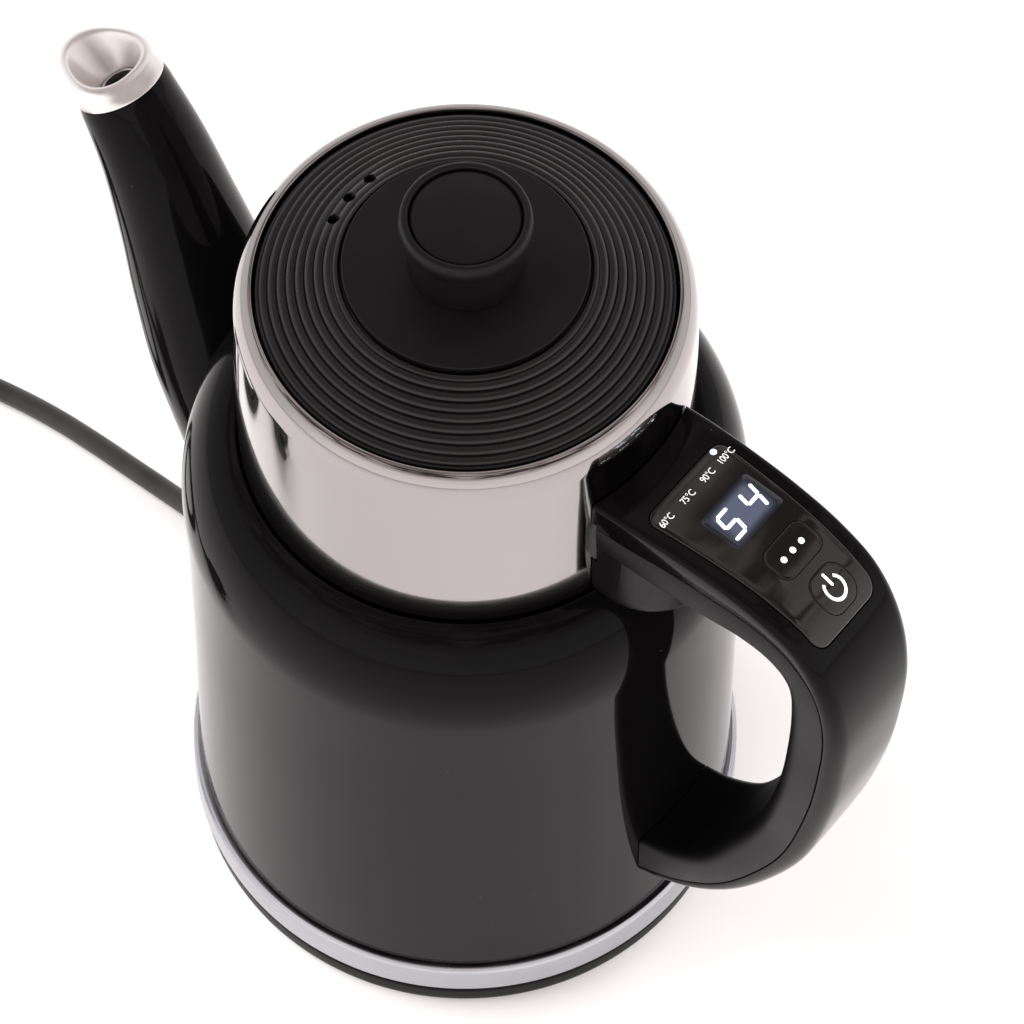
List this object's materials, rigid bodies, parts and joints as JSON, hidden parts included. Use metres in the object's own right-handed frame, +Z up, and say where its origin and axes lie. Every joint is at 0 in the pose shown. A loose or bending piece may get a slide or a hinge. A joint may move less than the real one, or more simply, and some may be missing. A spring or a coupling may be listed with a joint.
{
  "type": "electric gooseneck kettle",
  "caption": "Cordless electric kettle with a tapered curved spout, steel neck, ribbed lid with a knob, and a loop handle with a control window, standing on a round power base with a lead.",
  "frame": {"origin": "on the floor, on the axis that the kettle turns about", "axes": "+Z up, +X towards the handle, -X towards the spout"},
  "size_m": [0.3869, 0.2338, 0.2817],
  "materials": {
    "gloss_black": "glossy lacquered black",
    "soft_black": "soft-touch matte black",
    "plain_black": "moulded black, low sheen",
    "rubber": "matte black rubber",
    "polished_steel": "mirror polished",
    "satin_steel": "satin",
    "plain_steel": "plain steel",
    "cast_alloy": "cast",
    "brass": "plain",
    "control_window": "smoked gloss black",
    "circuit_board": "solder-resist green",
    "display": "lit display"
  },
  "bodies": {
    "power_base": {"base_housing": "plain_black", "base_bottom_plate": "plain_black", "base_connector": "plain_black", "connector_pin": "brass", "connector_ring": "brass", "base_foot_1": "rubber", "base_foot_2": "rubber", "base_foot_3": "rubber", "base_screw_1": "plain_steel", "base_screw_2": "plain_steel", "base_screw_3": "plain_steel", "strain_relief": "rubber", "power_cord": "rubber", "cord_coil": "rubber", "cord_tail": "rubber", "plug_body": "rubber", "plug_pin_1": "plain_steel", "plug_pin_2": "plain_steel"},
    "turning_shutter": {"contact_shutter": "plain_black"},
    "kettle": {"heel_ring": "satin_steel", "bottom_cover": "plain_black", "kettle_socket": "plain_black", "element_plate": "cast_alloy", "heating_tube": "plain_steel", "thermostat": "plain_black", "body_shell": "gloss_black", "pot_floor": "plain_steel", "pot_wall": "plain_steel", "pot_dome": "plain_steel", "pot_neck": "plain_steel", "neck_collar": "polished_steel", "spout_shell": "gloss_black", "spout_tube": "plain_steel", "spout_lip": "satin_steel", "handle_shell": "gloss_black", "handle_grip": "soft_black", "handle_pad": "rubber", "handle_screw_1": "plain_steel", "handle_screw_2": "plain_steel", "panel_lens": "control_window", "display_module": "display", "control_board": "circuit_board"},
    "mode_key": {"select_key": "control_window"},
    "switch_key": {"power_key": "control_window"},
    "lid": {"lid_ring": "plain_black", "lid_disc": "soft_black", "lid_liner": "plain_black", "lid_seal": "rubber", "knob": "soft_black", "knob_cap": "soft_black", "knob_screw": "plain_steel"}
  },
  "joints": [
    {"name": "kettle_turn", "type": "hinge", "parent": "power_base", "child": "turning_shutter", "pos_m": [0, 0, 0], "axis": [0, 0, 1], "continuous": true},
    {"name": "kettle_lift", "type": "slide", "parent": "turning_shutter", "child": "kettle", "axis": [0, 0, 1], "range_m": [0, 0.12]},
    {"name": "lid_lift", "type": "slide", "parent": "kettle", "child": "lid", "axis": [0, 0, 1], "range_m": [0, 0.08]},
    {"name": "select_press", "type": "slide", "parent": "kettle", "child": "mode_key", "axis": [-0.2072, 0, -0.9783], "range_m": [0, 0.0005], "stiffness_N_per_m": 400},
    {"name": "power_press", "type": "slide", "parent": "kettle", "child": "switch_key", "axis": [-0.4919, 0, -0.8707], "range_m": [0, 0.0005], "stiffness_N_per_m": 400}
  ]
}
